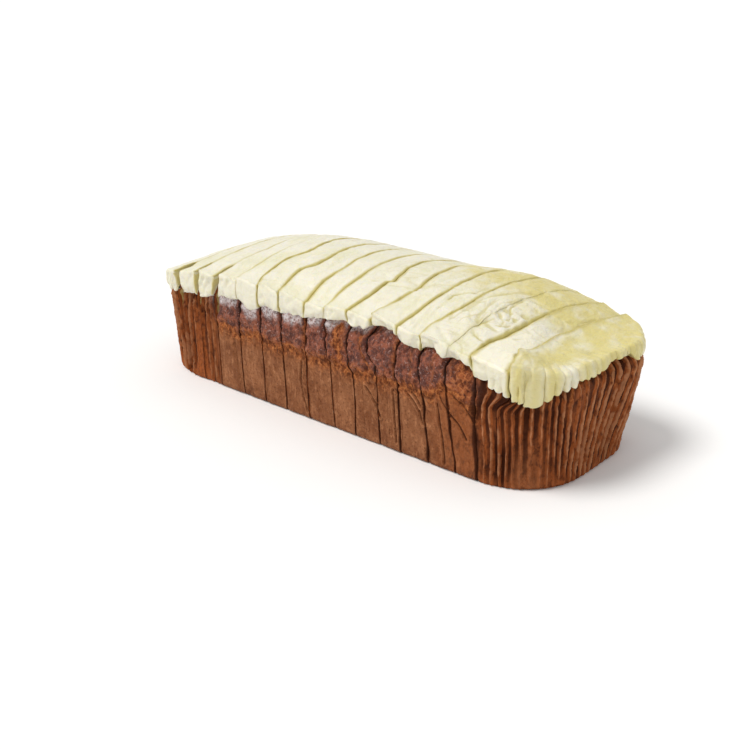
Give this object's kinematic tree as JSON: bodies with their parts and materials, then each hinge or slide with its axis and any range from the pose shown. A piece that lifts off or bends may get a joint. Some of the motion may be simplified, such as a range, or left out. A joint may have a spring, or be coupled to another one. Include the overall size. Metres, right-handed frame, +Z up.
{
  "type": "iced lemon loaf cake",
  "caption": "Long loaf cake with rounded, pleated ends, cut through crosswise and still standing together, its domed top under thick spread icing.",
  "frame": {"origin": "middle of the flat underside, which lies in z = 0", "axes": "+X along the loaf towards the near end, +Y to the back long side, +Z up"},
  "size_m": [0.2868, 0.1104, 0.0818],
  "materials": {
    "sponge_crust": "baked brown crust, glossy under the icing and dull where the paper case pressed",
    "icing": "satin pale lemon icing"
  },
  "bodies": {
    "root": {"sponge_01": "sponge_crust", "sponge_02": "sponge_crust", "sponge_03": "sponge_crust", "sponge_04": "sponge_crust", "sponge_05": "sponge_crust", "sponge_06": "sponge_crust", "sponge_07": "sponge_crust", "sponge_08": "sponge_crust", "sponge_09": "sponge_crust", "sponge_10": "sponge_crust", "sponge_11": "sponge_crust", "sponge_12": "sponge_crust", "sponge_13": "sponge_crust", "sponge_14": "sponge_crust", "sponge_15": "sponge_crust", "sponge_16": "sponge_crust", "icing_01": "icing", "icing_02": "icing", "icing_03": "icing", "icing_04": "icing", "icing_05": "icing", "icing_06": "icing", "icing_07": "icing", "icing_08": "icing", "icing_09": "icing", "icing_10": "icing", "icing_11": "icing", "icing_12": "icing", "icing_13": "icing", "icing_14": "icing", "icing_15": "icing", "icing_16": "icing"}
  },
  "joints": []
}
